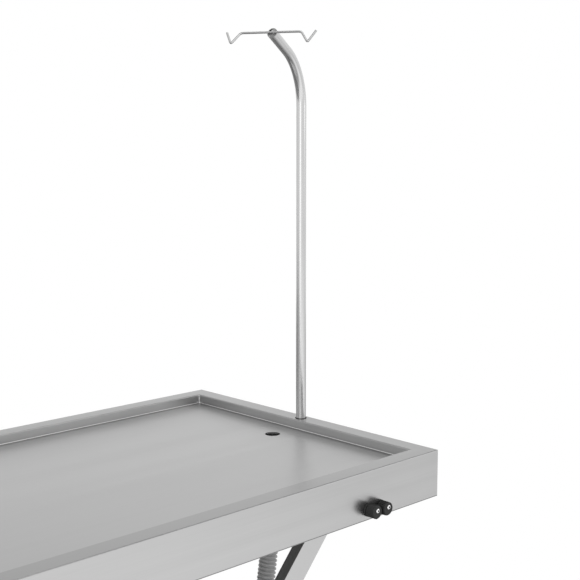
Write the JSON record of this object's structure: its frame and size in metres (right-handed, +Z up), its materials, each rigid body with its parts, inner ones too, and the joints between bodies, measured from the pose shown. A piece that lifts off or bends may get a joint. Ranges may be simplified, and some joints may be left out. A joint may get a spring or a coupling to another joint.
{
  "type": "veterinary treatment table",
  "caption": "Stainless tray-top treatment table on a foot-pumped scissor lift, with a drain and hose, cord cleats and a removable drip pole.",
  "frame": {"origin": "on the floor, under the middle of the tray top", "axes": "+X along the table to its pole end, +Y to the far long side, +Z up"},
  "size_m": [1.3, 0.6966, 1.6342],
  "materials": {
    "stainless": "satin brushed stainless steel",
    "zinc": "bright zinc-plated steel",
    "chrome": "hard chromed piston rod",
    "dark_steel": "dark grey painted steel",
    "pump_paint": "black painted casting",
    "black_plastic": "black moulded plastic",
    "nylon": "off-white nylon",
    "hose": "grey ribbed hose",
    "rubber": "black rubber"
  },
  "bodies": {
    "base": {"base_rail_near": "stainless", "base_rail_far": "stainless", "base_cross_pole_end": "stainless", "base_cross_free_end": "stainless", "base_cross_middle": "stainless", "base_pivot_shaft": "zinc", "cylinder_pin": "zinc", "pedal_pin": "zinc", "pump_block": "pump_paint", "pressure_pipe": "zinc"},
    "inner_arms": {"inner_arm_near": "stainless", "inner_arm_far": "stainless", "inner_cross_tube_low": "stainless", "inner_cross_tube_high": "stainless", "top_roller_axle": "zinc", "centre_shaft": "zinc", "arm_washer_near": "nylon", "arm_washer_far": "nylon"},
    "top_roller_near": {"top_roller_near": "nylon"},
    "top_roller_far": {"top_roller_far": "nylon"},
    "outer_arms": {"outer_arm_near": "stainless", "outer_arm_far": "stainless", "base_roller_axle": "zinc", "lifting_tube": "stainless", "rod_pin": "zinc"},
    "base_roller_near": {"base_roller_near": "nylon"},
    "base_roller_far": {"base_roller_far": "nylon"},
    "table": {"tray_top": "stainless", "table_rail_near": "stainless", "table_rail_far": "stainless", "table_cross_pole_end": "stainless", "table_cross_free_end": "stainless", "table_pivot_shaft": "zinc", "drain_spigot": "stainless", "hose_cuff": "rubber", "drain_hose": "hose", "pole_socket": "stainless", "cleat_base_pole_end_near": "black_plastic", "cleat_base_pole_end_far": "black_plastic", "cleat_base_free_end_near": "black_plastic", "cleat_base_free_end_far": "black_plastic"},
    "pole_bush": {"pole_bush": "black_plastic"},
    "drip_pole": {"drip_pole": "stainless", "drip_hook": "stainless"},
    "cam_pole_end_near_left": {"cleat_cam_pole_end_near_left": "black_plastic"},
    "cam_pole_end_near_right": {"cleat_cam_pole_end_near_right": "black_plastic"},
    "cam_pole_end_far_left": {"cleat_cam_pole_end_far_left": "black_plastic"},
    "cam_pole_end_far_right": {"cleat_cam_pole_end_far_right": "black_plastic"},
    "cam_free_end_near_left": {"cleat_cam_free_end_near_left": "black_plastic"},
    "cam_free_end_near_right": {"cleat_cam_free_end_near_right": "black_plastic"},
    "cam_free_end_far_left": {"cleat_cam_free_end_far_left": "black_plastic"},
    "cam_free_end_far_right": {"cleat_cam_free_end_far_right": "black_plastic"},
    "foot_pole_end_near": {"levelling_foot_pole_end_near": "black_plastic"},
    "foot_pole_end_far": {"levelling_foot_pole_end_far": "black_plastic"},
    "foot_free_end_near": {"levelling_foot_free_end_near": "black_plastic"},
    "foot_free_end_far": {"levelling_foot_free_end_far": "black_plastic"},
    "pump_pedal": {"pump_pedal": "dark_steel"},
    "release_pedal": {"release_pedal": "dark_steel"},
    "cylinder": {"cylinder_body": "stainless"},
    "piston_rod": {"cylinder_rod": "chrome"}
  },
  "joints": [
    {"name": "lift", "type": "hinge", "parent": "base", "child": "inner_arms", "pos_m": [0.4408, 0, 0.068], "axis": [0, 1, 0], "range_deg": [-31, 8]},
    {"name": "scissor", "type": "hinge", "parent": "inner_arms", "child": "outer_arms", "pos_m": [0.09637, 0, 0.46422], "axis": [0, 1, 0], "range_deg": [-16, 62]},
    {"name": "table_level", "type": "hinge", "parent": "outer_arms", "child": "table", "pos_m": [0.4408, 0, 0.86044], "axis": [0, 1, 0], "range_deg": [-31, 8]},
    {"name": "cylinder_tilt", "type": "hinge", "parent": "base", "child": "cylinder", "pos_m": [0.0322, 0, 0.0571], "axis": [0, 1, 0], "range_deg": [-36.2, 9.4]},
    {"name": "piston_travel", "type": "slide", "parent": "cylinder", "child": "piston_rod", "axis": [-0.1322, 0, 0.9912], "range_m": [-0.093, 0.024]},
    {"name": "top_roller_near_spin", "type": "hinge", "parent": "inner_arms", "child": "top_roller_near", "pos_m": [-0.24806, -0.3067, 0.86044], "axis": [0, 1, 0], "continuous": true},
    {"name": "top_roller_far_spin", "type": "hinge", "parent": "inner_arms", "child": "top_roller_far", "pos_m": [-0.24806, 0.3067, 0.86044], "axis": [0, 1, 0], "continuous": true},
    {"name": "base_roller_near_spin", "type": "hinge", "parent": "outer_arms", "child": "base_roller_near", "pos_m": [-0.24806, -0.3067, 0.068], "axis": [0, 1, 0], "continuous": true},
    {"name": "base_roller_far_spin", "type": "hinge", "parent": "outer_arms", "child": "base_roller_far", "pos_m": [-0.24806, 0.3067, 0.068], "axis": [0, 1, 0], "continuous": true},
    {"name": "pole_turn", "type": "hinge", "parent": "table", "child": "pole_bush", "pos_m": [0.6325, 0, 0.9], "axis": [0, 0, 1], "continuous": true},
    {"name": "pole_lift_out", "type": "slide", "parent": "pole_bush", "child": "drip_pole", "axis": [0, 0, 1], "range_m": [0, 0.125]},
    {"name": "cam_pole_end_near_left_open", "type": "hinge", "parent": "table", "child": "cam_pole_end_near_left", "pos_m": [0.4675, -0.33785, 0.84124], "axis": [0, 1, 0], "range_deg": [0, 45], "stiffness_Nm_per_rad": 0.05, "springref_deg": -20.05},
    {"name": "cam_pole_end_near_right_open", "type": "hinge", "parent": "table", "child": "cam_pole_end_near_right", "pos_m": [0.4945, -0.33785, 0.84124], "axis": [0, -1, 0], "range_deg": [0, 45], "stiffness_Nm_per_rad": 0.05, "springref_deg": -20.05},
    {"name": "cam_pole_end_far_left_open", "type": "hinge", "parent": "table", "child": "cam_pole_end_far_left", "pos_m": [0.4675, 0.33785, 0.84124], "axis": [0, 1, 0], "range_deg": [0, 45], "stiffness_Nm_per_rad": 0.05, "springref_deg": -20.05},
    {"name": "cam_pole_end_far_right_open", "type": "hinge", "parent": "table", "child": "cam_pole_end_far_right", "pos_m": [0.4945, 0.33785, 0.84124], "axis": [0, -1, 0], "range_deg": [0, 45], "stiffness_Nm_per_rad": 0.05, "springref_deg": -20.05},
    {"name": "cam_free_end_near_left_open", "type": "hinge", "parent": "table", "child": "cam_free_end_near_left", "pos_m": [-0.4945, -0.33785, 0.84124], "axis": [0, 1, 0], "range_deg": [0, 45], "stiffness_Nm_per_rad": 0.05, "springref_deg": -20.05},
    {"name": "cam_free_end_near_right_open", "type": "hinge", "parent": "table", "child": "cam_free_end_near_right", "pos_m": [-0.4675, -0.33785, 0.84124], "axis": [0, -1, 0], "range_deg": [0, 45], "stiffness_Nm_per_rad": 0.05, "springref_deg": -20.05},
    {"name": "cam_free_end_far_left_open", "type": "hinge", "parent": "table", "child": "cam_free_end_far_left", "pos_m": [-0.4945, 0.33785, 0.84124], "axis": [0, 1, 0], "range_deg": [0, 45], "stiffness_Nm_per_rad": 0.05, "springref_deg": -20.05},
    {"name": "cam_free_end_far_right_open", "type": "hinge", "parent": "table", "child": "cam_free_end_far_right", "pos_m": [-0.4675, 0.33785, 0.84124], "axis": [0, -1, 0], "range_deg": [0, 45], "stiffness_Nm_per_rad": 0.05, "springref_deg": -20.05},
    {"name": "foot_pole_end_near_screw", "type": "slide", "parent": "base", "child": "foot_pole_end_near", "axis": [0, 0, -1], "range_m": [0, 0.015]},
    {"name": "foot_pole_end_far_screw", "type": "slide", "parent": "base", "child": "foot_pole_end_far", "axis": [0, 0, -1], "range_m": [0, 0.015]},
    {"name": "foot_free_end_near_screw", "type": "slide", "parent": "base", "child": "foot_free_end_near", "axis": [0, 0, -1], "range_m": [0, 0.015]},
    {"name": "foot_free_end_far_screw", "type": "slide", "parent": "base", "child": "foot_free_end_far", "axis": [0, 0, -1], "range_m": [0, 0.015]},
    {"name": "pump_pedal_press", "type": "hinge", "parent": "base", "child": "pump_pedal", "pos_m": [0.15065, -0.222, 0.106], "axis": [1, 0, 0], "range_deg": [0, 12], "stiffness_Nm_per_rad": 6, "springref_deg": -14.32},
    {"name": "release_pedal_press", "type": "hinge", "parent": "base", "child": "release_pedal", "pos_m": [0.12435, -0.222, 0.106], "axis": [1, 0, 0], "range_deg": [0, 9], "stiffness_Nm_per_rad": 6, "springref_deg": -14.32}
  ],
  "couplings": [
    {"joint": "scissor", "follows": "lift", "ratio": -2},
    {"joint": "table_level", "follows": "lift", "ratio": 1},
    {"joint": "cylinder_tilt", "follows": "lift", "ratio": 1.1634},
    {"joint": "piston_travel", "follows": "lift", "m_per_rad": 0.17}
  ]
}
